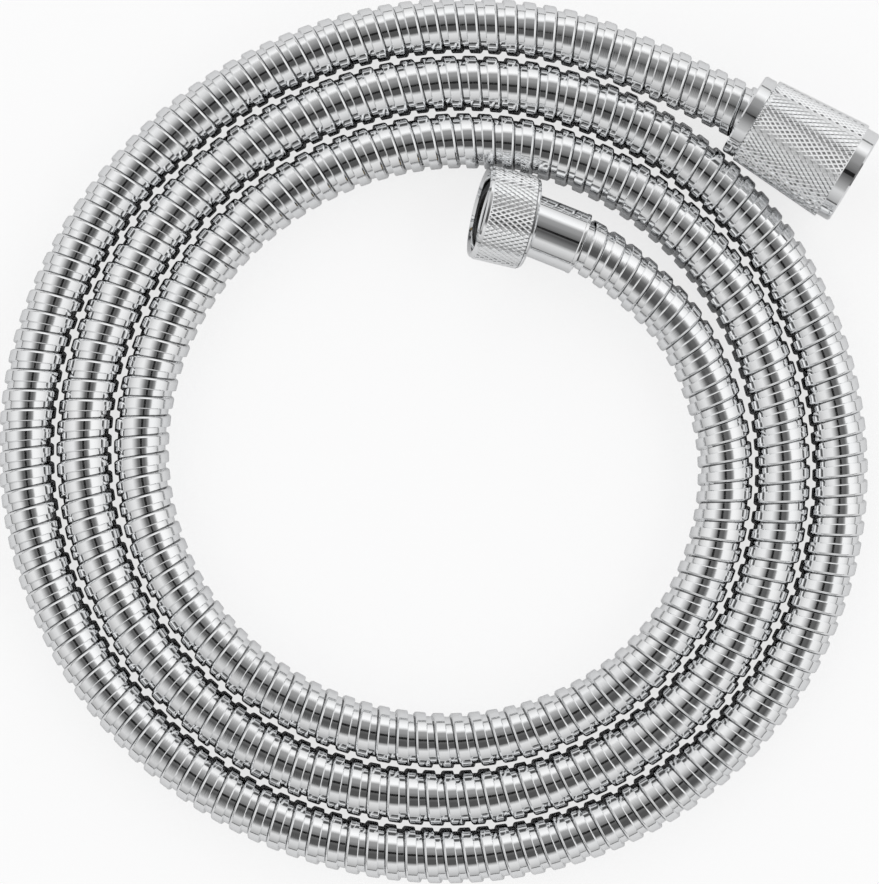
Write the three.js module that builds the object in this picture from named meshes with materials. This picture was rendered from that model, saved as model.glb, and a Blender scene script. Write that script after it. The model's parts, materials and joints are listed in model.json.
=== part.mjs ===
// A chromed metal shower hose, lying flat in three turns. Lengths are in millimetres and +Z is up.
// A wound strip armours a rubber tube. At the inner end of the coil a short union nut joins the mixer,
// and at the outer end a long conical nut joins the handset. Both nuts turn on the ends of the hose.
import * as THREE from 'three';

// Hose: the armour, and the water tube that lies loose in it
const hoseDiameter = 14;
const armourThickness = 1.3;
const armourSides = 12;
const tubeGap = 0.3;
const tubeWall = 1.4;
const tubeSides = 8;

// Coil: each bearing is in degrees, clockwise from +X as seen from above, and grows along the hose
const coilCentreX = 3.18;
const coilCentreY = -4.02;
const coilCoreRadius = 55.15;
const coilTurnGap = 0.63;
const ovalDepth = 0.8;
const ovalBearing = 5;
const lobeDepth = 0.59;
const lobeBearing = 48;
const coilStartBearing = 360;
const coilEndBearing = 1335;
const coilBearingStep = 15;

// Leads: bearing, how far outside the coil's plain spiral, and rise above a hose that lies on the floor
const mixerLead = [
  [315, -3.45, 2.6],
  [330, -1.76, 1.4],
  [345, -0.67, 0.4],
];
const handsetLead = [
  [1350, -0.41, 0.25],
  [1365, -0.12, 1.2],
  [1377.5, -0.33, 2.5],
];

// Which way the fittings point, and the bearing at which the hose leaves the handset's sleeve.
// It stays straight for a little way out of each sleeve.
const mouthStraight = 1.5;
const mixerBearing = 201.4;
const mixerLift = 4.5;
const handsetBearing = 31.2;
const handsetMouthBearing = 1391.43;

// End sleeves, crimped over the armour, each with an end wall that traps its nipple
const sleeveLength = 18;
const sleeveWall = 0.4;
const sleeveEndWall = 0.8;
const sleeveLip = 0.15;
const sleeveLipLength = 0.8;
const sleeveChamfer = 0.5;
const crimpGap = 0.15;

// Nipples: a flange outside the sleeve, a neck through its wall and a barbed tail in the water tube
const flangeEdgeGap = 0.3;
const flangeThickness = 1.8;
const flangeEdge = 0.3;
const neckRadius = 4.2;
const waterwayRadius = 2.7;
const tailLength = 12;
const barbCount = 4;
const barbDepth = 0.4;
const barbSlopeShare = 0.8;
const seatGap = 0.3;

// Nuts: both take the same half-inch pipe thread, drawn as its plain core bore
const threadRadius = 9.3;
const threadMouthChamfer = 0.9;
const reliefDepth = 1;
const slideGap = 0.45;

// Union nut
const unionLength = 13.2;
const unionRadius = 12;
const unionWall = 2.5;
const unionRelief = 4;
const unionRimWidth = 1;
const unionRimDrop = 0.3;
const unionSleeveHidden = 4.1;
const unionMiddleBearing = 282.85;
const unionTurnGap = 1.24;
const unionBearing = 192.5;
const unionLift = 8.5;
const unionFloorGap = 0.8;

// Conical nut: a polished ring, a groove, the knurled cone and a second polished ring
const coneLength = 32.2;
const coneNarrowRing = 10.85;
const coneNarrowRingWidth = 3.1;
const coneGrooveWidth = 0.5;
const coneGrooveRadius = 10.45;
const coneNarrowRadius = 11.4;
const coneWideRadius = 13.1;
const coneWideRing = 12.4;
const coneWideRingWidth = 3.5;
const coneSleeveDepth = 1.6;
const coneTurnGap = 0.33;
const coneRelief = 2.4;
const nutChamfer = 0.4;

// Washers
const washerThickness = 1.8;
const washerBore = 5.2;
const washerEdgeGap = 0.35;

const turnedSides = 48;
const radians = THREE.MathUtils.degToRad;

const hoseRadius = hoseDiameter / 2;
const coilPitch = hoseDiameter + coilTurnGap;
const armourCorner = hoseRadius / Math.cos(Math.PI / armourSides);
const armourBore = hoseRadius - armourThickness;
const tubeRadius = armourBore - tubeGap;
const sleeveBore = armourCorner + crimpGap;
const sleeveRadius = sleeveBore + sleeveWall;
const nutHole = sleeveRadius + sleeveLip + slideGap;
const flangeRadius = threadRadius - flangeEdgeGap;
const reliefRadius = threadRadius + reliefDepth;
const hoseEndDepth = sleeveLength - sleeveEndWall - seatGap;
const tubeBore = tubeRadius - tubeWall;
const tailRadius = tubeBore - seatGap;

const brightMetal = { metalness: 1, roughness: 0.14 };
const chrome = new THREE.MeshStandardMaterial({ color: 0xd9dbdc, ...brightMetal });
const brass = new THREE.MeshStandardMaterial({ color: 0xc9a35a, metalness: 1, roughness: 0.3 });
const rubber = new THREE.MeshStandardMaterial({ color: 0x1c1c1e, metalness: 0, roughness: 0.75 });
const tubeRubber = new THREE.MeshStandardMaterial({ color: 0x3a3a3c, metalness: 0, roughness: 0.65 });

// Distances of the hose's middle line from the coil's centre: a steady spiral, pressed a little out of round
function spiralRadius(bearing) {
  return coilCoreRadius + (coilPitch * bearing) / 360;
}

function coilRadius(bearing) {
  const oval = ovalDepth * Math.cos(2 * radians(bearing - ovalBearing));
  const lobes = lobeDepth * Math.cos(3 * radians(bearing - lobeBearing));
  return spiralRadius(bearing) + oval + lobes;
}

function coilPoint(bearing, radius, height) {
  return new THREE.Vector3(
    coilCentreX + radius * Math.cos(radians(bearing)),
    coilCentreY - radius * Math.sin(radians(bearing)),
    height,
  );
}

function leadPoint([bearing, out, rise]) {
  return coilPoint(bearing, spiralRadius(bearing) + out, hoseRadius + rise);
}

// How far to the side of a hose on the floor the axis of a round piece lies, with a gap between them
function besideHose(radius, height, gap) {
  return Math.sqrt((hoseRadius + radius + gap) ** 2 - (height - hoseRadius) ** 2);
}

// Unit vector at a bearing, tilted up by lift
function pointing(bearing, lift) {
  const level = Math.cos(radians(lift));
  return new THREE.Vector3(
    level * Math.cos(radians(bearing)),
    -level * Math.sin(radians(bearing)),
    Math.sin(radians(lift)),
  );
}

function beyond(point, direction, distance) {
  return point.clone().addScaledVector(direction, distance);
}

// The union nut lies just off the floor, inside the innermost full turn. The sleeve runs askew through
// its rear wall, and the hose begins at the sleeve's mouth.
const mixerAxis = pointing(mixerBearing, mixerLift);
const unionAxis = pointing(unionBearing, unionLift);
const unionRimHeight = unionFloorGap + unionRadius * Math.cos(radians(unionLift));
const unionMiddleHeight = unionRimHeight + (unionLength / 2 - unionRimWidth) * unionAxis.z;
const unionTurnReach = besideHose(unionRadius, unionMiddleHeight, unionTurnGap);
const unionMiddle = coilPoint(
  unionMiddleBearing,
  coilRadius(unionMiddleBearing + 360) - unionTurnReach,
  unionMiddleHeight,
);
const unionStart = beyond(unionMiddle, unionAxis, -unionLength / 2);
const unionPivot = beyond(unionStart, unionAxis, unionWall / 2);
const unionPivotDepth = sleeveLength - unionSleeveHidden + unionWall / 2;
const mixerMouthPoint = beyond(unionPivot, mixerAxis, -unionPivotDepth);

// The conical nut lies outside the last turn, along one side of its knurled cone, which lifts its wide end
const coneKnurlStart = coneNarrowRingWidth + coneGrooveWidth;
const coneKnurlLength = coneLength - coneWideRingWidth - coneKnurlStart;
const coneLift = THREE.MathUtils.radToDeg(Math.atan((coneWideRadius - coneNarrowRadius) / coneKnurlLength));
const handsetAxis = pointing(handsetBearing, coneLift);
const coneAxisHeight = coneNarrowRadius / Math.cos(radians(coneLift)) - coneKnurlStart * handsetAxis.z;
const handsetMouthHeight = coneAxisHeight + coneSleeveDepth * handsetAxis.z;
const handsetMouthPoint = coilPoint(
  handsetMouthBearing,
  coilRadius(handsetMouthBearing - 360) + besideHose(coneNarrowRing, handsetMouthHeight, coneTurnGap),
  handsetMouthHeight,
);
const coneStart = beyond(handsetMouthPoint, handsetAxis, -coneSleeveDepth);

// The hose's middle line, as the places of the rings that its solids are drawn through
function hoseStations() {
  const stations = [
    beyond(mixerMouthPoint, mixerAxis, hoseEndDepth),
    beyond(mixerMouthPoint, mixerAxis, -mouthStraight),
    ...mixerLead.map(leadPoint),
  ];
  for (let bearing = coilStartBearing; bearing <= coilEndBearing; bearing += coilBearingStep) {
    stations.push(coilPoint(bearing, coilRadius(bearing), hoseRadius));
  }
  stations.push(
    ...handsetLead.map(leadPoint),
    beyond(handsetMouthPoint, handsetAxis, -mouthStraight),
    beyond(handsetMouthPoint, handsetAxis, hoseEndDepth),
  );
  return stations;
}

// A route with one ring at each station, its section kept level so that a flat side rests on the floor
class StationRoute extends THREE.Curve {
  constructor(stations) {
    super();
    this.stations = stations;
  }

  getPoint(share, target = new THREE.Vector3()) {
    const place = share * (this.stations.length - 1);
    const before = Math.min(Math.floor(place), this.stations.length - 2);
    return target.lerpVectors(this.stations[before], this.stations[before + 1], place - before);
  }

  getPointAt(share, target) {
    return this.getPoint(share, target);
  }

  ringTangent(index) {
    const tangent = new THREE.Vector3();
    for (const near of [index - 1, index]) {
      if (near >= 0 && near < this.stations.length - 1) {
        tangent.add(this.stations[near + 1].clone().sub(this.stations[near]).normalize());
      }
    }
    return tangent.normalize();
  }

  computeFrenetFrames() {
    const up = new THREE.Vector3(0, 0, 1);
    const tangents = this.stations.map((_, index) => this.ringTangent(index));
    const normals = tangents.map((tangent) => up.clone().cross(tangent).normalize());
    const binormals = tangents.map((tangent, index) => tangent.clone().cross(normals[index]));
    return { tangents, normals, binormals };
  }
}

// A regular outline whose flat sides touch a circle of the given radius
function outline(path, radius, sides) {
  const corner = radius / Math.cos(Math.PI / sides);
  for (let side = 0; side < sides; side += 1) {
    const angle = ((side + 0.5) * 2 * Math.PI) / sides;
    const x = corner * Math.cos(angle);
    const y = corner * Math.sin(angle);
    if (side === 0) {
      path.moveTo(x, y);
    } else {
      path.lineTo(x, y);
    }
  }
  path.closePath();
  return path;
}

function pipeAlongHose(outerRadius, boreRadius, sides) {
  const section = outline(new THREE.Shape(), outerRadius, sides);
  section.holes.push(outline(new THREE.Path(), boreRadius, sides));
  const route = new StationRoute(hoseStations());
  const steps = route.stations.length - 1;
  return new THREE.ExtrudeGeometry(section, { steps, extrudePath: route });
}

// A turned piece: its profile is a closed loop of [radius, distance along the axis]
function turned(profile) {
  const loop = [...profile, profile[0]].map(([radius, along]) => new THREE.Vector2(radius, along));
  return new THREE.LatheGeometry(loop, turnedSides);
}

function armourGeometry() {
  return pipeAlongHose(hoseRadius, armourBore, armourSides);
}

function tubeGeometry() {
  return pipeAlongHose(tubeRadius * Math.cos(Math.PI / tubeSides), tubeBore, tubeSides);
}

// Measured from the mouth that the hose leaves by
function sleeveGeometry() {
  const lipRadius = sleeveRadius + sleeveLip;
  const wallHole = neckRadius + seatGap;
  return turned([
    [sleeveBore, 0],
    [lipRadius, 0],
    [lipRadius, sleeveLipLength],
    [sleeveRadius, sleeveLipLength + sleeveLip],
    [sleeveRadius, sleeveLength - sleeveChamfer],
    [sleeveRadius - sleeveChamfer, sleeveLength],
    [wallHole, sleeveLength],
    [wallHole, sleeveLength - sleeveEndWall],
    [sleeveBore, sleeveLength - sleeveEndWall],
  ]);
}

// Measured from the same mouth, with the flange just beyond the sleeve
function nippleGeometry() {
  const flangeStart = sleeveLength + seatGap;
  const tailEnd = hoseEndDepth - seatGap;
  const barbPitch = tailLength / barbCount;
  const profile = [[waterwayRadius, tailEnd - tailLength]];
  for (let barb = 0; barb < barbCount; barb += 1) {
    const start = tailEnd - tailLength + barb * barbPitch;
    profile.push([tailRadius - barbDepth, start], [tailRadius, start + barbPitch * barbSlopeShare]);
  }
  profile.push(
    [tailRadius, hoseEndDepth],
    [neckRadius, hoseEndDepth + seatGap],
    [neckRadius, flangeStart],
    [flangeRadius - flangeEdge, flangeStart],
    [flangeRadius, flangeStart + flangeEdge],
    [flangeRadius, flangeStart + flangeThickness - flangeEdge],
    [flangeRadius - flangeEdge, flangeStart + flangeThickness],
    [waterwayRadius, flangeStart + flangeThickness],
  );
  return turned(profile);
}

// The inside of either nut, from its open end back to the shoulder wall
function nutInside(length, shoulder, relief) {
  return [
    [threadRadius + threadMouthChamfer, length],
    [threadRadius, length - threadMouthChamfer],
    [threadRadius, shoulder + relief],
    [reliefRadius, shoulder + relief],
    [reliefRadius, shoulder],
    [nutHole, shoulder],
  ];
}

function unionNutGeometry() {
  const rim = unionRadius - unionRimDrop;
  return turned([
    [nutHole, 0],
    [rim - nutChamfer, 0],
    [rim, nutChamfer],
    [rim, unionRimWidth - unionRimDrop],
    [unionRadius, unionRimWidth],
    [unionRadius, unionLength - unionRimWidth],
    [rim, unionLength - unionRimWidth + unionRimDrop],
    [rim, unionLength - nutChamfer],
    [rim - nutChamfer, unionLength],
    ...nutInside(unionLength, unionWall, unionRelief),
  ]);
}

function coneNutGeometry() {
  const knurlEnd = coneKnurlStart + coneKnurlLength;
  const shoulder = coneSleeveDepth + sleeveLength;
  return turned([
    [nutHole, 0],
    [coneNarrowRing - nutChamfer, 0],
    [coneNarrowRing, nutChamfer],
    [coneNarrowRing, coneNarrowRingWidth],
    [coneGrooveRadius, coneNarrowRingWidth],
    [coneGrooveRadius, coneKnurlStart],
    [coneNarrowRadius, coneKnurlStart],
    [coneWideRadius, knurlEnd],
    [coneWideRing, knurlEnd],
    [coneWideRing, coneLength - nutChamfer],
    [coneWideRing - nutChamfer, coneLength],
    ...nutInside(coneLength, shoulder, coneRelief),
  ]);
}

function washerGeometry() {
  const edge = threadRadius - washerEdgeGap;
  return turned([
    [washerBore, 0],
    [edge, 0],
    [edge, washerThickness],
    [washerBore, washerThickness],
  ]);
}

const hose = new THREE.Group();

function addPiece(name, geometry, material) {
  const mesh = new THREE.Mesh(geometry, material);
  mesh.name = name;
  hose.add(mesh);
  return mesh;
}

// A turned piece is drawn along +Y, and is laid with its zero at start and its axis along direction
function addTurned(name, geometry, material, start, direction) {
  const mesh = addPiece(name, geometry, material);
  mesh.quaternion.setFromUnitVectors(new THREE.Vector3(0, 1, 0), direction);
  mesh.position.copy(start);
}

// The nut stands askew of the sleeve, so its washer clears the low edge of the tilted flange
const unionSkew = mixerAxis.angleTo(unionAxis);
const flangeFaceDepth = sleeveLength + seatGap + flangeThickness - unionPivotDepth;
const flangeReach = flangeFaceDepth * Math.cos(unionSkew) + flangeRadius * Math.sin(unionSkew);
const mixerWasherStart = beyond(unionPivot, unionAxis, flangeReach + seatGap);
const handsetWasherDepth = sleeveLength + 2 * seatGap + flangeThickness;
const handsetWasherStart = beyond(handsetMouthPoint, handsetAxis, handsetWasherDepth);

addPiece('metal_hose', armourGeometry(), chrome);
addPiece('inner_tube', tubeGeometry(), tubeRubber);
addTurned('mixer_sleeve', sleeveGeometry(), chrome, mixerMouthPoint, mixerAxis);
addTurned('mixer_nipple', nippleGeometry(), brass, mixerMouthPoint, mixerAxis);
addTurned('union_nut', unionNutGeometry(), chrome, unionStart, unionAxis);
addTurned('mixer_washer', washerGeometry(), rubber, mixerWasherStart, unionAxis);
addTurned('handset_sleeve', sleeveGeometry(), chrome, handsetMouthPoint, handsetAxis);
addTurned('handset_nipple', nippleGeometry(), brass, handsetMouthPoint, handsetAxis);
addTurned('cone_nut', coneNutGeometry(), chrome, coneStart, handsetAxis);
addTurned('handset_washer', washerGeometry(), rubber, handsetWasherStart, handsetAxis);

export default hose;
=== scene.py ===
# A chromed metal shower hose that lies flat in three turns, with a knurled nut on each end.
# Sizes are in metres: a value in millimetres is multiplied by MM. +Z is up, and bearings are in
# degrees, clockwise from +X as seen from above.
import json
import math

import bmesh
import bpy
import numpy as np
from mathutils import Matrix, Vector


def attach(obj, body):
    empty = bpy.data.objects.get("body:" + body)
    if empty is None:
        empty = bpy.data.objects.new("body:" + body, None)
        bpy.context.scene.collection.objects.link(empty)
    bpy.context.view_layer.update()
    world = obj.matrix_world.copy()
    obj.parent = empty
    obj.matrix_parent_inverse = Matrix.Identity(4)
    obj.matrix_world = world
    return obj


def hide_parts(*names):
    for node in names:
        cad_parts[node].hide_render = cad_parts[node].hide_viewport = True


MM = 0.001

# Camera, straight above the coil, with its sensor and lens in millimetres
CAMERA_PLACE = (0.66 * MM, -0.32 * MM, 657 * MM)
CAMERA_SENSOR = 36
CAMERA_LENS = 104

# Hose and coil
HOSE_RADIUS = 7 * MM
HOSE_DIAMETER = 2 * HOSE_RADIUS
COIL_CENTRE = (3.18 * MM, -4.02 * MM)
COIL_CORE_RADIUS = 55.15 * MM
COIL_PITCH = HOSE_DIAMETER + 0.63 * MM
OVAL_DEPTH = 0.8 * MM
OVAL_BEARING = 5
LOBE_DEPTH = 0.59 * MM
LOBE_BEARING = 48
COIL_BEARINGS = range(360, 1336, 15)

# Leads from the coil to the nuts: the bearing of each point, and in millimetres how far it is outside
# the coil's plain spiral and above lying flat
MIXER_LEAD = ((315, -3.45, 2.6), (330, -1.76, 1.4), (345, -0.67, 0.4))
HANDSET_LEAD = ((1350, -0.41, 0.25), (1365, -0.12, 1.2), (1377.5, -0.33, 2.5))
MIXER_BEARING = 201.4
MIXER_LIFT = 4.5
MOUTH_STRAIGHT = 1.5 * MM

# Wound strip: its pitch, and its outline along the hose, from the edge of one winding to the next.
# Each point is the distance along the winding and the depth under the crown, in millimetres.
STRIP_PITCH = 5.0 * MM
STRIP_OUTLINE = (
    (0.02, 0.4),
    (0.08, 0.1),
    (0.26, 0.0),
    (2.56, 0.0),
    (2.82, 0.12),
    (3.05, 0.36),
    (3.14, 1.15),
    (3.3, 1.15),
    (3.5, 0.9),
    (4.92, 0.9),
)
STRIP_SIDES = 26
STRIP_LEAD_IN = 1.5 * STRIP_PITCH
STRIP_SPARE_WINDINGS = 2
STRIP_MERGE = 0.002 * MM
ARMOUR_BORE_RADIUS = 5.7 * MM
BORE_RINGS = 160
ROUTE_SAMPLES = 40
SEAM_MIDDLE = 3.24 * MM
SEAM_HALF = 0.11 * MM

# Sleeve over each end of the armour
SLEEVE_LENGTH = 18 * MM
SLEEVE_HIDDEN = 4.1 * MM
SLEEVE_BORE_RADIUS = 7.397 * MM
SLEEVE_RADIUS = 7.797 * MM
SLEEVE_END_WALL = 0.8 * MM
SLEEVE_LIP = 0.15 * MM
SLEEVE_LIP_LENGTH = 0.8 * MM
SLEEVE_CHAMFER = 0.5 * MM
SLEEVE_SIDES = 96
SLEEVE_ROUND = 0.09 * MM
SLEEVE_ROUND_STEPS = 2
SLEEVE_ROUND_ANGLE = math.radians(25)
NECK_HOLE_RADIUS = 4.5 * MM
HOSE_END_DEPTH = 16.9 * MM

# Nuts
NUT_HOLE_RADIUS = 8.397 * MM
NUT_CHAMFER = 0.4 * MM
RELIEF_RADIUS = 10.3 * MM
THREAD_CREST_RADIUS = 9.35 * MM
THREAD_ROOT_RADIUS = 10.2 * MM
THREAD_PITCH = 1.814 * MM
THREAD_CREST_HALF = 0.16 * MM
THREAD_ROOT_HALF = 0.72 * MM
THREAD_STEPS = 64
THREAD_CORNERS = 4
THREAD_SUNK_ROOT = THREAD_ROOT_RADIUS + 0.05 * MM
THREAD_FADE_TURNS = 0.4
THREAD_FADE_LEAST = 0.04
MOUTH_CHAMFER = 0.7 * MM

UNION_LENGTH = 13.2 * MM
UNION_RADIUS = 12 * MM
UNION_WALL = 2.5 * MM
UNION_RELIEF = 4 * MM
UNION_RIM_WIDTH = 1 * MM
UNION_RIM_DROP = 0.3 * MM
UNION_KNURLS = 65
UNION_KNURL_ROWS = 5

CONE_LENGTH = 32.2 * MM
CONE_NARROW_RING_RADIUS = 10.85 * MM
CONE_NARROW_RING_WIDTH = 3.1 * MM
CONE_GROOVE_WIDTH = 0.5 * MM
CONE_GROOVE_RADIUS = 10.45 * MM
CONE_NARROW_RADIUS = 11.4 * MM
CONE_WIDE_RADIUS = 13.1 * MM
CONE_WIDE_RING_RADIUS = 12.4 * MM
CONE_WIDE_RING_WIDTH = 3.5 * MM
CONE_SLEEVE_DEPTH = 1.6 * MM
CONE_RELIEF = 2.4 * MM
CONE_KNURLS = 64
CONE_KNURL_ROWS = 12

KNURL_DEPTH = 0.11 * MM
KNURL_GROOVE_HALF = 0.19 * MM

# All new meshes
SHARP_ANGLE = math.radians(22)
MERGE = 0.001 * MM

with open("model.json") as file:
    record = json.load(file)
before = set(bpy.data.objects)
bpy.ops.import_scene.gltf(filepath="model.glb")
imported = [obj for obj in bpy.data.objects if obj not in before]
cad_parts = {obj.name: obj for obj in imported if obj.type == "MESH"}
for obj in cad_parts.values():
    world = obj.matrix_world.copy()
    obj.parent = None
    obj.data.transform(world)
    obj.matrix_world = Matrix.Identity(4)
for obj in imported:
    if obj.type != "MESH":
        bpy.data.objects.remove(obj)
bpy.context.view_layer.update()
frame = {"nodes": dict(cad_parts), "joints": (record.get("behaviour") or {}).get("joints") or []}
scene = bpy.context.scene
joint_facts = {joint["name"]: joint for joint in frame["joints"]}


# Camera and route

def make_camera():
    camera_data = bpy.data.cameras.new("camera")
    camera_data.sensor_width = CAMERA_SENSOR
    camera_data.lens = CAMERA_LENS
    camera = bpy.data.objects.new("camera", camera_data)
    camera.location = CAMERA_PLACE
    scene.collection.objects.link(camera)
    scene.camera = camera


def spiral_radius(bearing):
    return COIL_CORE_RADIUS + COIL_PITCH * bearing / 360


def coil_point(bearing, radius, height):
    turn = math.radians(bearing)
    x = COIL_CENTRE[0] + radius * math.cos(turn)
    y = COIL_CENTRE[1] - radius * math.sin(turn)
    return Vector((x, y, height))


def coil_station(bearing):
    oval = OVAL_DEPTH * math.cos(2 * math.radians(bearing - OVAL_BEARING))
    lobes = LOBE_DEPTH * math.cos(3 * math.radians(bearing - LOBE_BEARING))
    return coil_point(bearing, spiral_radius(bearing) + oval + lobes, HOSE_RADIUS)


def lead_station(bearing, out, rise):
    return coil_point(bearing, spiral_radius(bearing) + out * MM, HOSE_RADIUS + rise * MM)


def pointing(bearing, lift):
    level = math.cos(math.radians(lift))
    turn = math.radians(bearing)
    return Vector((level * math.cos(turn), -level * math.sin(turn), math.sin(math.radians(lift))))


def joint_line(name):
    facts = joint_facts[name]
    return Vector(facts["pos_m"]), Vector(facts["axis"])


union_pivot, union_axis = joint_line("union_nut_spin")
cone_start, cone_axis = joint_line("cone_nut_spin")
union_start = union_pivot - union_axis * UNION_WALL / 2
mixer_axis = pointing(MIXER_BEARING, MIXER_LIFT)
mixer_mouth = union_pivot - mixer_axis * (SLEEVE_LENGTH - SLEEVE_HIDDEN + UNION_WALL / 2)
handset_mouth = cone_start + cone_axis * CONE_SLEEVE_DEPTH


def hose_stations():
    stations = [
        mixer_mouth + mixer_axis * HOSE_END_DEPTH,
        mixer_mouth + mixer_axis * HOSE_END_DEPTH / 2,
        mixer_mouth - mixer_axis * MOUTH_STRAIGHT,
    ]
    stations += [lead_station(*lead) for lead in MIXER_LEAD]
    stations += [coil_station(bearing) for bearing in COIL_BEARINGS]
    stations += [lead_station(*lead) for lead in HANDSET_LEAD]
    stations += [
        handset_mouth - cone_axis * MOUTH_STRAIGHT,
        handset_mouth + cone_axis * HOSE_END_DEPTH / 2,
        handset_mouth + cone_axis * HOSE_END_DEPTH,
    ]
    return np.array([tuple(station) for station in stations])


def smooth_route(stations):
    """Points of a smooth curve through the stations, timed by the root of their distances."""
    first = 2 * stations[0] - stations[1]
    last = 2 * stations[-1] - stations[-2]
    points = np.vstack([first, stations, last])
    times = np.concatenate([[0], np.cumsum(np.sqrt(np.linalg.norm(np.diff(points, axis=0), axis=1)))])
    pieces = []
    for index in range(1, len(points) - 2):
        t = np.linspace(times[index], times[index + 1], ROUTE_SAMPLES, endpoint=False)[:, None]
        t0, t1, t2, t3 = times[index - 1:index + 3]
        p0, p1, p2, p3 = points[index - 1:index + 3]
        a1 = (t1 - t) / (t1 - t0) * p0 + (t - t0) / (t1 - t0) * p1
        a2 = (t2 - t) / (t2 - t1) * p1 + (t - t1) / (t2 - t1) * p2
        a3 = (t3 - t) / (t3 - t2) * p2 + (t - t2) / (t3 - t2) * p3
        b1 = (t2 - t) / (t2 - t0) * a1 + (t - t0) / (t2 - t0) * a2
        b2 = (t3 - t) / (t3 - t1) * a2 + (t - t1) / (t3 - t1) * a3
        pieces.append((t2 - t) / (t2 - t1) * b1 + (t - t1) / (t2 - t1) * b2)
    pieces.append(stations[-1:])
    return np.vstack(pieces)


class Route:
    """The hose's middle line, which gives points around it by the length along it."""

    def __init__(self, points):
        steps = np.linalg.norm(np.diff(points, axis=0), axis=1)
        self.points = points
        self.lengths = np.concatenate([[0], np.cumsum(steps)])
        self.length = self.lengths[-1]
        along = np.gradient(points, self.lengths, axis=0)
        self.along = along / np.linalg.norm(along, axis=1)[:, None]

    def at(self, values, distance):
        return np.stack([np.interp(distance, self.lengths, column) for column in values.T], axis=-1)

    def surface(self, distance, angle, radius):
        """Points at an angle that starts at the outside of the turn and passes over the top."""
        middle = self.at(self.points, distance)
        along = self.at(self.along, distance)
        along /= np.linalg.norm(along, axis=-1)[..., None]
        outward = np.cross(np.array([0.0, 0.0, 1.0]), along)
        outward /= np.linalg.norm(outward, axis=-1)[..., None]
        upward = np.cross(along, outward)
        cos = np.cos(angle)[..., None]
        sin = np.sin(angle)[..., None]
        return middle + radius[..., None] * (outward * cos + upward * sin)


# Materials. A noise's scale is in waves a metre, and the middle part of its range is used. A bump's
# depth is in metres.

NOISE_LOW = 0.3
NOISE_HIGH = 0.7
NOISE_DETAIL = 3

PLATE_TINTS = ((0.88, 0.89, 0.9), (0.91, 0.915, 0.92))
PLATE_CLOUDS = 90
PLATE_WAVE = 0.007 * MM
PLATE_GRAIN = 1400
PLATE_HAZE = 0.05
TURNED_ROUGHNESS = 0.03
STRIP_ROUGHNESS = 0.04
ROLL_MARKS = 3600
ROLL_MARKS_ALONG = 1 / 24
ROLL_MARK_DEPTH = 0.012 * MM
# Share of the plate's colour left in the seam, as painted shade
SEAM_SHADE = 0.25

BRASS_TINTS = ((0.58, 0.42, 0.2), (0.76, 0.6, 0.32))
BRASS_BLOOM = 260
BRASS_MARKS = 3200
BRASS_MARK_DEPTH = 0.015 * MM
BRASS_ROUGHNESS = (0.22, 0.4)

WASHER_TINTS = ((0.02, 0.02, 0.021), (0.05, 0.05, 0.052))
WASHER_ROUGHNESS = (0.62, 0.77)
WASHER_GRAIN_DEPTH = 0.01 * MM
TUBE_TINTS = ((0.06, 0.06, 0.063), (0.1, 0.1, 0.104))
TUBE_ROUGHNESS = (0.5, 0.65)
TUBE_GRAIN_DEPTH = 0.005 * MM
RUBBER_DUST = 300
RUBBER_GRAIN = 4200


def add_node(tree, kind, **settings):
    node = tree.nodes.new(kind)
    for name, value in settings.items():
        setattr(node, name, value)
    return node


def math_node(tree, operation, *values):
    node = add_node(tree, "ShaderNodeMath", operation=operation)
    for socket, value in zip(node.inputs, values):
        if isinstance(value, (int, float)):
            socket.default_value = value
        else:
            tree.links.new(value, socket)
    return node.outputs["Value"]


def noise(tree, place, scale):
    node = add_node(tree, "ShaderNodeTexNoise")
    node.inputs["Scale"].default_value = scale
    node.inputs["Detail"].default_value = NOISE_DETAIL
    tree.links.new(place, node.inputs["Vector"])
    return node.outputs["Fac"]


def spread(tree, value, low, high):
    node = add_node(tree, "ShaderNodeMapRange")
    node.inputs["From Min"].default_value = NOISE_LOW
    node.inputs["From Max"].default_value = NOISE_HIGH
    node.inputs["To Min"].default_value = low
    node.inputs["To Max"].default_value = high
    tree.links.new(value, node.inputs["Value"])
    return node.outputs["Result"]


def tint(tree, value, tints):
    node = add_node(tree, "ShaderNodeValToRGB")
    for element, place, colour in zip(node.color_ramp.elements, (NOISE_LOW, NOISE_HIGH), tints):
        element.position = place
        element.color = (*colour, 1)
    tree.links.new(value, node.inputs["Fac"])
    return node.outputs["Color"]


def bump(tree, height, depth):
    node = add_node(tree, "ShaderNodeBump")
    node.inputs["Distance"].default_value = depth
    tree.links.new(height, node.inputs["Height"])
    return node


def new_material(name):
    material = bpy.data.materials.new(name)
    material.use_nodes = True
    tree = material.node_tree
    return material, tree, tree.nodes["Principled BSDF"]


def object_place(tree):
    return add_node(tree, "ShaderNodeTexCoord").outputs["Object"]


def chrome_material(name, roughness):
    """Chrome plate: near mirror, with a faint haze and the slight waviness of the plate under it."""
    material, tree, shader = new_material(name)
    shader.inputs["Metallic"].default_value = 1
    place = object_place(tree)
    clouds = noise(tree, place, PLATE_CLOUDS)
    grain = noise(tree, place, PLATE_GRAIN)
    tree.links.new(tint(tree, clouds, PLATE_TINTS), shader.inputs["Base Color"])
    tree.links.new(spread(tree, grain, roughness, roughness + PLATE_HAZE), shader.inputs["Roughness"])
    wave = bump(tree, clouds, PLATE_WAVE)
    tree.links.new(wave.outputs["Normal"], shader.inputs["Normal"])
    return material


def strip_chrome_material():
    """The same plate on rolled strip: fine marks run along the strip, and its open seam is dark with
    painted shade.
    """
    material = chrome_material("chromed_strip", STRIP_ROUGHNESS)
    tree = material.node_tree
    shader = tree.nodes["Principled BSDF"]
    place = add_node(tree, "ShaderNodeAttribute", attribute_name="unrolled_strip").outputs["Vector"]
    add_roll_marks(tree, shader, place)
    paint_seam_shade(tree, shader, place)
    return material


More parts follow.
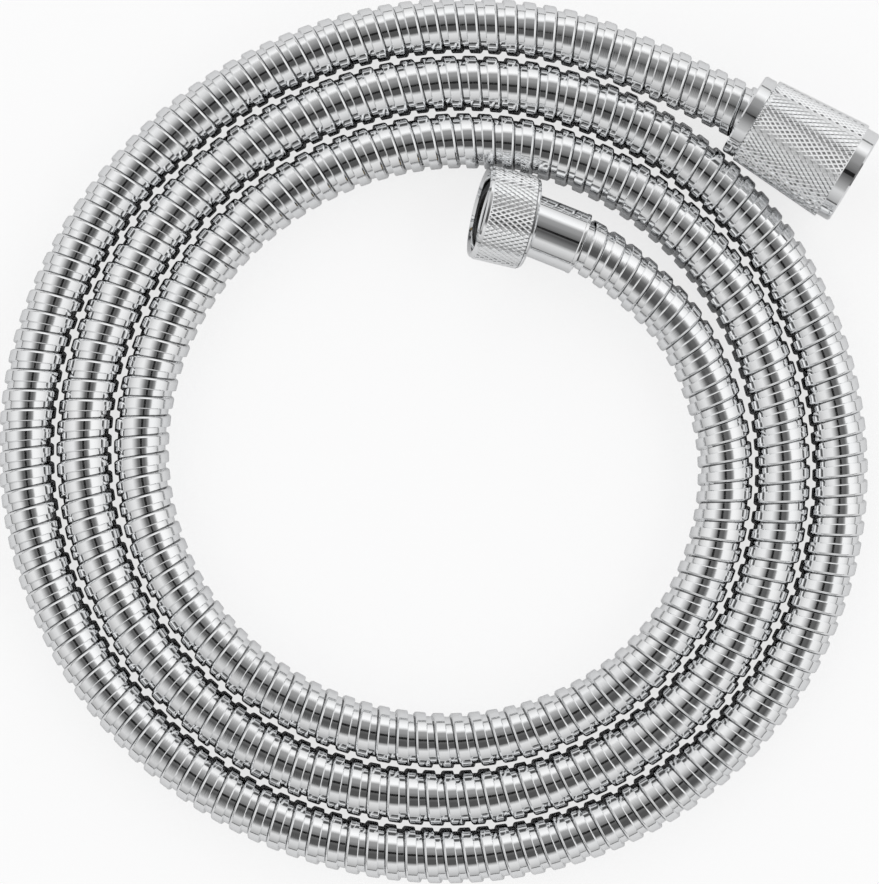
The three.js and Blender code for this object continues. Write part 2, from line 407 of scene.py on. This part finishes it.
def add_roll_marks(tree, shader, place):
    mapping = add_node(tree, "ShaderNodeMapping")
    mapping.inputs["Scale"].default_value = (1, ROLL_MARKS_ALONG, 1)
    tree.links.new(place, mapping.inputs["Vector"])
    marks = bump(tree, noise(tree, mapping.outputs["Vector"], ROLL_MARKS), ROLL_MARK_DEPTH)
    wave = shader.inputs["Normal"].links[0].from_socket
    tree.links.new(wave, marks.inputs["Normal"])
    tree.links.new(marks.outputs["Normal"], shader.inputs["Normal"])


# Painted shade: the plate's colour is darkened in a band over the open seam, for the shade that falls
# in its gap.
def paint_seam_shade(tree, shader, place):
    across = add_node(tree, "ShaderNodeSeparateXYZ")
    tree.links.new(place, across.inputs["Vector"])
    seam = math_node(tree, "COMPARE", across.outputs["X"], SEAM_MIDDLE, SEAM_HALF)
    light = math_node(tree, "MULTIPLY_ADD", seam, SEAM_SHADE - 1, 1)
    plate = shader.inputs["Base Color"].links[0].from_socket
    shaded = add_node(tree, "ShaderNodeVectorMath", operation="SCALE")
    tree.links.new(plate, shaded.inputs["Vector"])
    tree.links.new(light, shaded.inputs["Scale"])
    tree.links.new(shaded.outputs["Vector"], shader.inputs["Base Color"])


def brass_material():
    """Turned brass: fine tool marks and a darker bloom."""
    material, tree, shader = new_material("turned_brass")
    shader.inputs["Metallic"].default_value = 1
    place = object_place(tree)
    bloom = noise(tree, place, BRASS_BLOOM)
    marks = noise(tree, place, BRASS_MARKS)
    tree.links.new(tint(tree, bloom, BRASS_TINTS), shader.inputs["Base Color"])
    tree.links.new(spread(tree, marks, *BRASS_ROUGHNESS), shader.inputs["Roughness"])
    relief = bump(tree, marks, BRASS_MARK_DEPTH)
    tree.links.new(relief.outputs["Normal"], shader.inputs["Normal"])
    return material


def rubber_material(name, tints, roughness, grain_depth):
    """Moulded rubber: matt, with a fine grain and a dusty bloom."""
    material, tree, shader = new_material(name)
    place = object_place(tree)
    dust = noise(tree, place, RUBBER_DUST)
    grain = noise(tree, place, RUBBER_GRAIN)
    tree.links.new(tint(tree, dust, tints), shader.inputs["Base Color"])
    tree.links.new(spread(tree, dust, *roughness), shader.inputs["Roughness"])
    relief = bump(tree, grain, grain_depth)
    tree.links.new(relief.outputs["Normal"], shader.inputs["Normal"])
    return material


def set_material(piece, material):
    piece.data.materials.clear()
    piece.data.materials.append(material)


# Hose: one tube of wound strip, with an open bore and its wall closed at both ends

def strip_grid(route, sides):
    """Outer surface: rows follow the strip's outline, columns go round and on along the helix.
    Each point's place on the unrolled strip goes with it, for the chrome's roll marks and painted seam
    shade."""
    windings = math.ceil(route.length / STRIP_PITCH) + STRIP_SPARE_WINDINGS
    columns = np.arange(windings * sides + 1)
    start = STRIP_PITCH * columns / sides - STRIP_LEAD_IN
    offset, depth = np.array(STRIP_OUTLINE).T * MM
    shape = (len(offset), len(columns))
    along = offset[:, None] + start[None, :]
    angle = np.tile(2 * math.pi * (columns % sides) / sides, (len(offset), 1))
    outside = (along <= 0) | (along >= route.length)
    depth = np.where(outside, depth[0], depth[:, None])
    unrolled = np.zeros((*shape, 3))
    unrolled[..., 0] = offset[:, None]
    unrolled[..., 1] = columns * (2 * math.pi * HOSE_RADIUS / sides)
    points = route.surface(np.clip(along, 0, route.length), angle, HOSE_RADIUS - depth)
    return points, unrolled


def bore_grid(route, sides):
    """Inner wall, with the ring of each cut end at its two edges."""
    ring_depth = STRIP_OUTLINE[0][1] * MM
    along = np.concatenate([[0], np.linspace(0, route.length, BORE_RINGS), [route.length]])
    radius = np.full(len(along), ARMOUR_BORE_RADIUS)
    radius[0] = radius[-1] = HOSE_RADIUS - ring_depth
    angle = 2 * math.pi * np.arange(sides + 1) / sides
    shape = (len(along), len(angle))
    along = np.broadcast_to(along[:, None], shape)
    radius = np.broadcast_to(radius[:, None], shape)
    return route.surface(along, np.broadcast_to(angle[None, :], shape), radius)


def squares_between(lower, upper):
    """Faces between two rows of point numbers."""
    corners = (lower[..., :-1], lower[..., 1:], upper[..., 1:], upper[..., :-1])
    return np.stack(corners, axis=-1).reshape(-1, 4).tolist()


def merge_and_face_outwards(mesh):
    shape = bmesh.new()
    shape.from_mesh(mesh)
    bmesh.ops.remove_doubles(shape, verts=shape.verts, dist=STRIP_MERGE)
    bmesh.ops.dissolve_degenerate(shape, edges=shape.edges, dist=MERGE)
    bmesh.ops.recalc_face_normals(shape, faces=shape.faces)
    shape.to_mesh(mesh)
    shape.free()


def make_hose(route):
    outer, unrolled = strip_grid(route, STRIP_SIDES)
    inner = bore_grid(route, STRIP_SIDES)
    outer_numbers = np.arange(outer[..., 0].size).reshape(outer.shape[:2])
    inner_numbers = outer_numbers.size + np.arange(inner[..., 0].size).reshape(inner.shape[:2])
    points = np.vstack([outer.reshape(-1, 3), inner.reshape(-1, 3)])
    faces = squares_between(outer_numbers[:-1], outer_numbers[1:])
    faces += squares_between(outer_numbers[-1, :-STRIP_SIDES], outer_numbers[0, STRIP_SIDES:])
    faces += squares_between(inner_numbers[:-1], inner_numbers[1:])
    mesh = bpy.data.meshes.new("wound_hose")
    mesh.from_pydata(points.tolist(), [], faces)
    places = np.zeros((len(points), 3))
    places[:outer_numbers.size] = unrolled.reshape(-1, 3)
    strip = mesh.attributes.new("unrolled_strip", "FLOAT_VECTOR", "POINT")
    strip.data.foreach_set("vector", places.ravel())
    merge_and_face_outwards(mesh)
    hose = bpy.data.objects.new("wound_hose", mesh)
    scene.collection.objects.link(hose)
    return hose


# Turned pieces, made along +Z and then laid on their axis

def deselect_all():
    bpy.ops.object.select_all(action="DESELECT")


def select_only(piece):
    deselect_all()
    piece.select_set(True)
    bpy.context.view_layer.objects.active = piece


def turn_piece(name, outline, sides):
    """A ring of edges is extruded and resized from point to point of a closed outline."""
    deselect_all()
    radius, along = outline[0]
    bpy.ops.mesh.primitive_circle_add(vertices=sides, radius=radius, location=(0, 0, along))
    piece = bpy.context.object
    piece.name = name
    piece.data.name = name
    bpy.ops.object.mode_set(mode="EDIT")
    bpy.ops.mesh.select_all(action="SELECT")
    for next_radius, next_along in [*outline[1:], outline[0]]:
        step = (0, 0, next_along - along)
        bpy.ops.mesh.extrude_edges_move(TRANSFORM_OT_translate={"value": step})
        growth = next_radius / radius
        bpy.ops.transform.resize(value=(growth, growth, 1))
        radius, along = next_radius, next_along
    bpy.ops.mesh.select_all(action="SELECT")
    bpy.ops.mesh.remove_doubles(threshold=MERGE)
    bpy.ops.mesh.normals_make_consistent(inside=False)
    bpy.ops.object.mode_set(mode="OBJECT")
    bpy.ops.object.transform_apply(location=True, rotation=True, scale=True)
    return piece


def shade_by_angle(piece):
    select_only(piece)
    bpy.ops.object.shade_smooth_by_angle(angle=SHARP_ANGLE)


def lay_on_axis(piece, start, axis):
    select_only(piece)
    turn = axis.to_track_quat("Z", "Y").to_matrix().to_4x4()
    piece.matrix_world = Matrix.Translation(start) @ turn
    bpy.ops.object.transform_apply(location=True, rotation=True, scale=True)


def knurl_rows(start, end, rows):
    """Outline points of a knurled band, one row of knurls from each other."""
    points = []
    for row in range(rows + 1):
        share = row / rows
        points.append((start[0] + (end[0] - start[0]) * share, start[1] + (end[1] - start[1]) * share))
    return points


def select_band(piece, band, inside):
    """The faces of a band of the nut, outside a radius, are selected."""
    low, high = band
    shape = bmesh.from_edit_mesh(piece.data)
    for face in shape.faces:
        middle = face.calc_center_median()
        face.select_set(low < middle.z < high and math.hypot(middle.x, middle.y) > inside)
    bmesh.update_edit_mesh(piece.data)


def selected_corners(piece):
    shape = bmesh.from_edit_mesh(piece.data)
    return {tuple(vert.co) for face in shape.faces if face.select for vert in face.verts}


def select_edges_between(piece, corners):
    """The edges that run from corner to corner within the selected faces are selected."""
    shape = bmesh.from_edit_mesh(piece.data)
    banded = {face for face in shape.faces if face.select}
    bpy.ops.mesh.select_mode(type="EDGE")
    for edge in shape.edges:
        on_corners = all(tuple(vert.co) in corners for vert in edge.verts)
        within = all(face in banded for face in edge.link_faces)
        edge.select_set(on_corners and within)
    bmesh.update_edit_mesh(piece.data)


def cut_knurls(piece, band, inside):
    """Each square of the band is poked, the squares' own edges go, and each diamond is raised."""
    select_only(piece)
    bpy.ops.object.mode_set(mode="EDIT")
    bpy.ops.mesh.select_all(action="DESELECT")
    bpy.ops.mesh.select_mode(type="FACE")
    select_band(piece, band, inside)
    corners = selected_corners(piece)
    bpy.ops.mesh.poke()
    select_edges_between(piece, corners)
    bpy.ops.mesh.dissolve_edges(use_verts=False, use_face_split=False)
    bpy.ops.mesh.select_mode(type="FACE")
    bpy.ops.mesh.select_all(action="DESELECT")
    select_band(piece, band, inside)
    bpy.ops.mesh.inset(thickness=KNURL_GROOVE_HALF, depth=KNURL_DEPTH, use_individual=True)
    bpy.ops.object.mode_set(mode="OBJECT")


def thread_section(start):
    """The ridge's section: its root, sunk in the nut's wall, and its crest."""
    bpy.ops.mesh.primitive_plane_add(size=1, location=(0, 0, 0))
    ridge = bpy.context.object
    half_widths = (-THREAD_ROOT_HALF, THREAD_ROOT_HALF, -THREAD_CREST_HALF, THREAD_CREST_HALF)
    radii = (THREAD_SUNK_ROOT, THREAD_SUNK_ROOT, THREAD_CREST_RADIUS, THREAD_CREST_RADIUS)
    for vert, radius, half_width in zip(ridge.data.vertices, radii, half_widths):
        vert.co = (radius, 0, start + half_width)
    bpy.ops.object.mode_set(mode="EDIT")
    bpy.ops.mesh.select_all(action="SELECT")
    bpy.ops.mesh.delete(type="ONLY_FACE")
    bpy.ops.object.mode_set(mode="OBJECT")
    return ridge


def wind_thread(ridge, start, end):
    turns = (end - start) / THREAD_PITCH
    screw = ridge.modifiers.new("thread", "SCREW")
    screw.angle = 2 * math.pi * turns
    screw.screw_offset = end - start
    screw.steps = screw.render_steps = int(THREAD_STEPS * turns)
    screw.use_merge_vertices = False
    bpy.ops.object.modifier_apply(modifier=screw.name)


def fade_thread(ridge, start, end):
    """The ridge sinks into the nut's wall towards both of its ends."""
    for vert in ridge.data.vertices:
        turns_left = min(vert.co.z - start, end - vert.co.z) / THREAD_PITCH
        height = min(max(turns_left / THREAD_FADE_TURNS, THREAD_FADE_LEAST), 1)
        radius = math.hypot(vert.co.x, vert.co.y)
        growth = (THREAD_SUNK_ROOT + (radius - THREAD_SUNK_ROOT) * height) / radius
        vert.co.x *= growth
        vert.co.y *= growth


def close_ends(ridge):
    select_only(ridge)
    bpy.ops.object.mode_set(mode="EDIT")
    bpy.ops.mesh.select_all(action="SELECT")
    bpy.ops.mesh.fill_holes(sides=THREAD_CORNERS)
    bpy.ops.mesh.normals_make_consistent(inside=False)
    bpy.ops.object.mode_set(mode="OBJECT")


def cut_thread(piece, low, high):
    """A ridge is wound between two heights of the nut, closed and joined to its bore."""
    start = low + THREAD_ROOT_HALF
    end = high - THREAD_ROOT_HALF
    deselect_all()
    ridge = thread_section(start)
    wind_thread(ridge, start, end)
    fade_thread(ridge, start, end)
    close_ends(ridge)
    ridge.select_set(True)
    piece.select_set(True)
    bpy.context.view_layer.objects.active = piece
    bpy.ops.object.join()


def nut_inside(length, shoulder, relief):
    return [
        (THREAD_ROOT_RADIUS + MOUTH_CHAMFER, length),
        (THREAD_ROOT_RADIUS, length - MOUTH_CHAMFER),
        (THREAD_ROOT_RADIUS, shoulder + relief),
        (RELIEF_RADIUS, shoulder + relief),
        (RELIEF_RADIUS, shoulder),
        (NUT_HOLE_RADIUS, shoulder),
    ]


def make_union_nut():
    rim = UNION_RADIUS - UNION_RIM_DROP
    root = UNION_RADIUS - KNURL_DEPTH
    low = UNION_RIM_WIDTH
    high = UNION_LENGTH - UNION_RIM_WIDTH
    outline = [
        (NUT_HOLE_RADIUS, 0),
        (rim - NUT_CHAMFER, 0),
        (rim, NUT_CHAMFER),
        (rim, low),
        *knurl_rows((root, low), (root, high), UNION_KNURL_ROWS),
        (rim, high),
        (rim, UNION_LENGTH - NUT_CHAMFER),
        (rim - NUT_CHAMFER, UNION_LENGTH),
        *nut_inside(UNION_LENGTH, UNION_WALL, UNION_RELIEF),
    ]
    nut = turn_piece("knurled_union_nut", outline, UNION_KNURLS)
    cut_knurls(nut, (low, high), (rim + THREAD_ROOT_RADIUS) / 2)
    cut_thread(nut, UNION_WALL + UNION_RELIEF, UNION_LENGTH - MOUTH_CHAMFER)
    shade_by_angle(nut)
    lay_on_axis(nut, union_start, union_axis)
    return nut


def make_cone_nut():
    low = CONE_NARROW_RING_WIDTH + CONE_GROOVE_WIDTH
    high = CONE_LENGTH - CONE_WIDE_RING_WIDTH
    shoulder = CONE_SLEEVE_DEPTH + SLEEVE_LENGTH
    narrow = (CONE_NARROW_RADIUS - KNURL_DEPTH, low)
    wide = (CONE_WIDE_RADIUS - KNURL_DEPTH, high)
    outline = [
        (NUT_HOLE_RADIUS, 0),
        (CONE_NARROW_RING_RADIUS - NUT_CHAMFER, 0),
        (CONE_NARROW_RING_RADIUS, NUT_CHAMFER),
        (CONE_NARROW_RING_RADIUS, CONE_NARROW_RING_WIDTH),
        (CONE_GROOVE_RADIUS, CONE_NARROW_RING_WIDTH),
        (CONE_GROOVE_RADIUS, low),
        *knurl_rows(narrow, wide, CONE_KNURL_ROWS),
        (CONE_WIDE_RING_RADIUS, high),
        (CONE_WIDE_RING_RADIUS, CONE_LENGTH - NUT_CHAMFER),
        (CONE_WIDE_RING_RADIUS - NUT_CHAMFER, CONE_LENGTH),
        *nut_inside(CONE_LENGTH, shoulder, CONE_RELIEF),
    ]
    nut = turn_piece("knurled_cone_nut", outline, CONE_KNURLS)
    cut_knurls(nut, (low, high), (CONE_GROOVE_RADIUS + THREAD_ROOT_RADIUS) / 2)
    cut_thread(nut, shoulder + CONE_RELIEF, CONE_LENGTH - MOUTH_CHAMFER)
    shade_by_angle(nut)
    lay_on_axis(nut, cone_start, cone_axis)
    return nut


def round_sleeve(sleeve):
    select_only(sleeve)
    modifier = sleeve.modifiers.new("rounded_edges", "BEVEL")
    modifier.width = SLEEVE_ROUND
    modifier.segments = SLEEVE_ROUND_STEPS
    modifier.limit_method = "ANGLE"
    modifier.angle_limit = SLEEVE_ROUND_ANGLE
    bpy.ops.object.modifier_apply(modifier=modifier.name)


def make_sleeve():
    lip = SLEEVE_RADIUS + SLEEVE_LIP
    outline = [
        (SLEEVE_BORE_RADIUS, 0),
        (lip, 0),
        (lip, SLEEVE_LIP_LENGTH),
        (SLEEVE_RADIUS, SLEEVE_LIP_LENGTH + SLEEVE_LIP),
        (SLEEVE_RADIUS, SLEEVE_LENGTH - SLEEVE_CHAMFER),
        (SLEEVE_RADIUS - SLEEVE_CHAMFER, SLEEVE_LENGTH),
        (NECK_HOLE_RADIUS, SLEEVE_LENGTH),
        (NECK_HOLE_RADIUS, SLEEVE_LENGTH - SLEEVE_END_WALL),
        (SLEEVE_BORE_RADIUS, SLEEVE_LENGTH - SLEEVE_END_WALL),
    ]
    sleeve = turn_piece("crimped_sleeve", outline, SLEEVE_SIDES)
    round_sleeve(sleeve)
    shade_by_angle(sleeve)
    lay_on_axis(sleeve, mixer_mouth, mixer_axis)
    return sleeve


# Studio: a pale floor and a soft light all round, with the dark of the camera overhead

WHITE = (1, 1, 1, 1)
MATT_SPECULAR = 0.1

# The dark patch overhead is a rectangle: its stops pair the direction's X or Y, from -1 to 1, with how
# far outside the patch that is. Inside it the grey goes by Y, and around it by height and side.
PATCH_X_STOPS = (
    (-0.6, 1.0),
    (-0.45, 0.66),
    (-0.27, 0.22),
    (-0.15, 0.0),
    (0.3, 0.0),
    (0.46, 0.25),
    (0.56, 1.0),
)
PATCH_Y_STOPS = ((-0.68, 1.0), (-0.48, 0.0), (0.6, 0.0), (0.76, 1.0))
PATCH_GREY_STOPS = (
    (-0.5, 0.09),
    (-0.2, 0.09),
    (-0.1, 0.12),
    (0.05, 0.14),
    (0.16, 0.2),
    (0.3, 0.25),
    (0.37, 0.31),
    (0.6, 0.37),
)
HEIGHT_STOPS = ((0.0, 0.15), (0.055, 0.2), (0.09, 0.62), (0.3, 0.78), (0.5, 0.92), (0.7, 1.0))
SIDE_MIDDLE = 0.94
SIDE_X = 0.1
SIDE_Y = 0.2

# The floor is white to the light. To the camera it is darker but glows, which keeps its shadow faint,
# and in the chrome it gleams where nothing stands over it.
FLOOR_SIZE = 3.0
FLOOR_ROUGHNESS = 0.9
FLOOR_WHITE = (0.8, 0.8, 0.805, 1)
FLOOR_SHADE = (0.34, 0.34, 0.343, 1)
FLOOR_GLOW = 0.76
FLOOR_GLEAM = 0.22
FLOOR_OPEN_REACH = 30 * MM
FLOOR_OPEN_SAMPLES = 4

LENS_RADIUS = 100 * MM
LENS_HEIGHT = 1200 * MM
LENS_SIDES = 48
LENS_BLACK = (0.03, 0.03, 0.03, 1)


def grey_ramp(tree, value, stops):
    node = add_node(tree, "ShaderNodeValToRGB")
    elements = node.color_ramp.elements
    for position, _ in stops[1:-1]:
        elements.new(position)
    for element, (position, grey) in zip(elements, stops):
        element.position = position
        element.color = (grey, grey, grey, 1)
    tree.links.new(value, node.inputs["Fac"])
    return node.outputs["Color"]


def signed_ramp(tree, value, stops):
    """A ramp over -1 to 1."""
    share = math_node(tree, "MULTIPLY_ADD", value, 0.5, 0.5)
    return grey_ramp(tree, share, [((place + 1) / 2, grey) for place, grey in stops])


def studio_glow(tree):
    direction = add_node(tree, "ShaderNodeTexCoord").outputs["Generated"]
    parts = add_node(tree, "ShaderNodeSeparateXYZ")
    tree.links.new(direction, parts.inputs["Vector"])
    x, y, z = parts.outputs
    outside_x = signed_ramp(tree, x, PATCH_X_STOPS)
    outside_y = signed_ramp(tree, y, PATCH_Y_STOPS)
    outside = math_node(tree, "MAXIMUM", outside_x, outside_y)
    inside_grey = signed_ramp(tree, y, PATCH_GREY_STOPS)
    side_y = math_node(tree, "MULTIPLY_ADD", y, SIDE_Y, SIDE_MIDDLE)
    side = math_node(tree, "MULTIPLY_ADD", x, SIDE_X, side_y)
    around = math_node(tree, "MULTIPLY", grey_ramp(tree, z, HEIGHT_STOPS), side)
    difference = math_node(tree, "SUBTRACT", around, inside_grey)
    return math_node(tree, "MULTIPLY_ADD", outside, difference, inside_grey)


def make_world():
    world = bpy.data.worlds.new("soft_studio")
    world.use_nodes = True
    scene.world = world
    tree = world.node_tree
    tree.nodes.clear()
    to_camera = add_node(tree, "ShaderNodeLightPath").outputs["Is Camera Ray"]
    background = add_node(tree, "ShaderNodeBackground")
    background.inputs["Color"].default_value = WHITE
    strength = math_node(tree, "MAXIMUM", studio_glow(tree), to_camera)
    tree.links.new(strength, background.inputs["Strength"])
    output = add_node(tree, "ShaderNodeOutputWorld")
    tree.links.new(background.outputs["Background"], output.inputs["Surface"])


def floor_material():
    material, tree, shader = new_material("pale_floor")
    shader.inputs["Roughness"].default_value = FLOOR_ROUGHNESS
    shader.inputs["Specular IOR Level"].default_value = MATT_SPECULAR
    shader.inputs["Emission Color"].default_value = WHITE
    rays = add_node(tree, "ShaderNodeLightPath").outputs
    to_camera = rays["Is Camera Ray"]
    colour = add_node(tree, "ShaderNodeMix", data_type="RGBA")
    white, dark = [socket for socket in colour.inputs if socket.type == "RGBA"]
    white.default_value = FLOOR_WHITE
    dark.default_value = FLOOR_SHADE
    tree.links.new(to_camera, colour.inputs["Factor"])
    tree.links.new(colour.outputs["Result"], shader.inputs["Base Color"])
    seen = math_node(tree, "MULTIPLY", to_camera, FLOOR_GLOW)
    openness = add_node(tree, "ShaderNodeAmbientOcclusion", samples=FLOOR_OPEN_SAMPLES)
    openness.inputs["Distance"].default_value = FLOOR_OPEN_REACH
    gleam = math_node(tree, "MULTIPLY", openness.outputs["AO"], FLOOR_GLEAM)
    glow = math_node(tree, "MULTIPLY_ADD", rays["Is Glossy Ray"], gleam, seen)
    tree.links.new(glow, shader.inputs["Emission Strength"])
    return material


def make_floor():
    deselect_all()
    bpy.ops.mesh.primitive_plane_add(size=FLOOR_SIZE, location=(0, 0, 0))
    floor = bpy.context.object
    floor.name = "floor"
    set_material(floor, floor_material())


def lens_material():
    material, _, shader = new_material("lens_black")
    shader.inputs["Base Color"].default_value = LENS_BLACK
    shader.inputs["Specular IOR Level"].default_value = MATT_SPECULAR
    return material


def make_lens():
    """The dark of a lens above the coil, seen only in the chrome."""
    deselect_all()
    place = (*CAMERA_PLACE[:2], LENS_HEIGHT)
    bpy.ops.mesh.primitive_circle_add(
        vertices=LENS_SIDES,
        radius=LENS_RADIUS,
        fill_type="NGON",
        location=place,
    )
    lens = bpy.context.object
    lens.name = "lens"
    lens.visible_camera = False
    set_material(lens, lens_material())


# Scene

make_camera()
route = Route(smooth_route(hose_stations()))
hose = make_hose(route)
union_nut = make_union_nut()
cone_nut = make_cone_nut()
sleeve = make_sleeve()

strip_chrome = strip_chrome_material()
turned_chrome = chrome_material("turned_chrome", TURNED_ROUGHNESS)
for piece in (union_nut, cone_nut, sleeve):
    set_material(piece, turned_chrome)
set_material(hose, strip_chrome)
shade_by_angle(hose)

brass = brass_material()
washer_rubber = rubber_material("washer_rubber", WASHER_TINTS, WASHER_ROUGHNESS, WASHER_GRAIN_DEPTH)
tube_rubber = rubber_material("tube_rubber", TUBE_TINTS, TUBE_ROUGHNESS, TUBE_GRAIN_DEPTH)
for name, material in (
    ("handset_sleeve", turned_chrome),
    ("mixer_nipple", brass),
    ("handset_nipple", brass),
    ("mixer_washer", washer_rubber),
    ("handset_washer", washer_rubber),
    ("inner_tube", tube_rubber),
):
    set_material(frame["nodes"][name], material)

for piece, node, body in (
    (hose, "metal_hose", "hose"),
    (sleeve, "mixer_sleeve", "hose"),
    (union_nut, "union_nut", "mixer_nut"),
    (cone_nut, "cone_nut", "handset_nut"),
):
    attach(piece, body)
    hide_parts(node)

make_floor()
make_lens()
make_world()

scene.view_settings.view_transform = "Standard"
